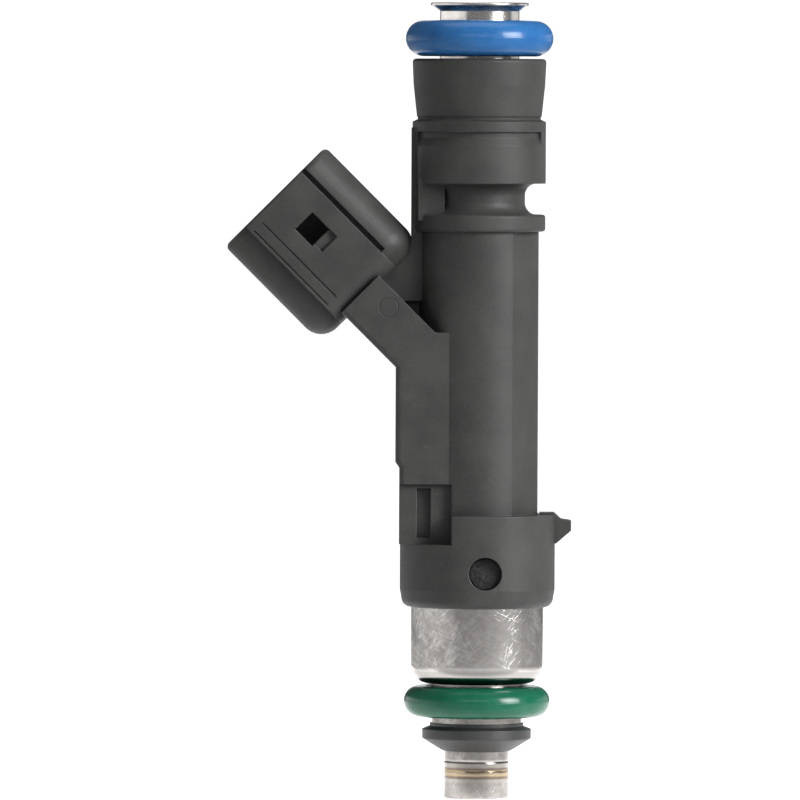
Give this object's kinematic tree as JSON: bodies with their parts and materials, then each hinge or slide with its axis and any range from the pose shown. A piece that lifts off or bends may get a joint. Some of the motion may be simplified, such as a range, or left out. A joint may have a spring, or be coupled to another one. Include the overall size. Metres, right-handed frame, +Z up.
{
  "type": "fuel injector",
  "caption": "Long electromagnetic fuel injector with a sealing ring at each end, a clip slot and a connector that leans up at forty-five degrees.",
  "frame": {"origin": "centre of the nozzle's end face, on the valve axis", "axes": "+Z up along the valve axis, from the nozzle to the fuel inlet; the connector leans up and out towards -X; Y across, so that X, Y, Z are right-handed"},
  "size_m": [0.0344, 0.0154, 0.0795],
  "materials": {
    "inlet_steel": "bright drawn stainless steel",
    "upper_rubber": "smooth blue fluorosilicone rubber",
    "housing_plastic": "black glass-filled nylon, fine moulded grain",
    "cup_steel": "bright drawn steel, lightly scratched",
    "lower_rubber": "smooth green fluorocarbon rubber",
    "nose_steel": "turned stainless steel with a heat-tinted weld band",
    "keeper_plastic": "black moulded nylon",
    "filter_plastic": "natural nylon",
    "screen_mesh": "fine woven nylon mesh",
    "pole_steel": "turned magnetic stainless steel",
    "shell_steel": "non-magnetic stainless steel",
    "lid_steel": "stamped steel",
    "bobbin_plastic": "black moulded nylon",
    "winding_wire": "enamelled copper wire",
    "pin_tin": "tinned bronze wire",
    "blade_tin": "stamped tin-plated bronze",
    "sleeve_steel": "rolled spring steel",
    "spring_steel": "stainless spring wire",
    "armature_chrome": "chromed magnetic stainless steel",
    "needle_steel": "drawn stainless steel",
    "ball_steel": "lapped hardened steel",
    "seat_steel": "ground hardened steel",
    "plate_steel": "thin punched stainless steel"
  },
  "bodies": {
    "injector_body": {"inlet_tube": "inlet_steel", "upper_o_ring": "upper_rubber", "housing": "housing_plastic", "magnet_cup": "cup_steel", "lower_o_ring": "lower_rubber", "valve_body": "nose_steel", "retaining_ring": "keeper_plastic", "filter_frame": "filter_plastic", "filter_screen": "screen_mesh", "inner_pole": "pole_steel", "nonmagnetic_shell": "shell_steel", "magnet_lid": "lid_steel", "coil_bobbin": "bobbin_plastic", "coil_winding": "winding_wire", "coil_pin_a": "pin_tin", "coil_pin_b": "pin_tin", "terminal_blade_a": "blade_tin", "terminal_blade_b": "blade_tin", "adjusting_sleeve": "sleeve_steel", "valve_spring": "spring_steel", "valve_seat": "seat_steel", "orifice_plate": "plate_steel"},
    "valve_needle": {"armature": "armature_chrome", "needle_tube": "needle_steel", "valve_ball": "ball_steel"}
  },
  "joints": [
    {"name": "needle_lift", "type": "slide", "parent": "injector_body", "child": "valve_needle", "axis": [0, 0, 1], "range_m": [0, 0.00008], "stiffness_N_per_m": 3500, "springref_m": -0.0008, "deforming": ["valve_spring"]}
  ]
}
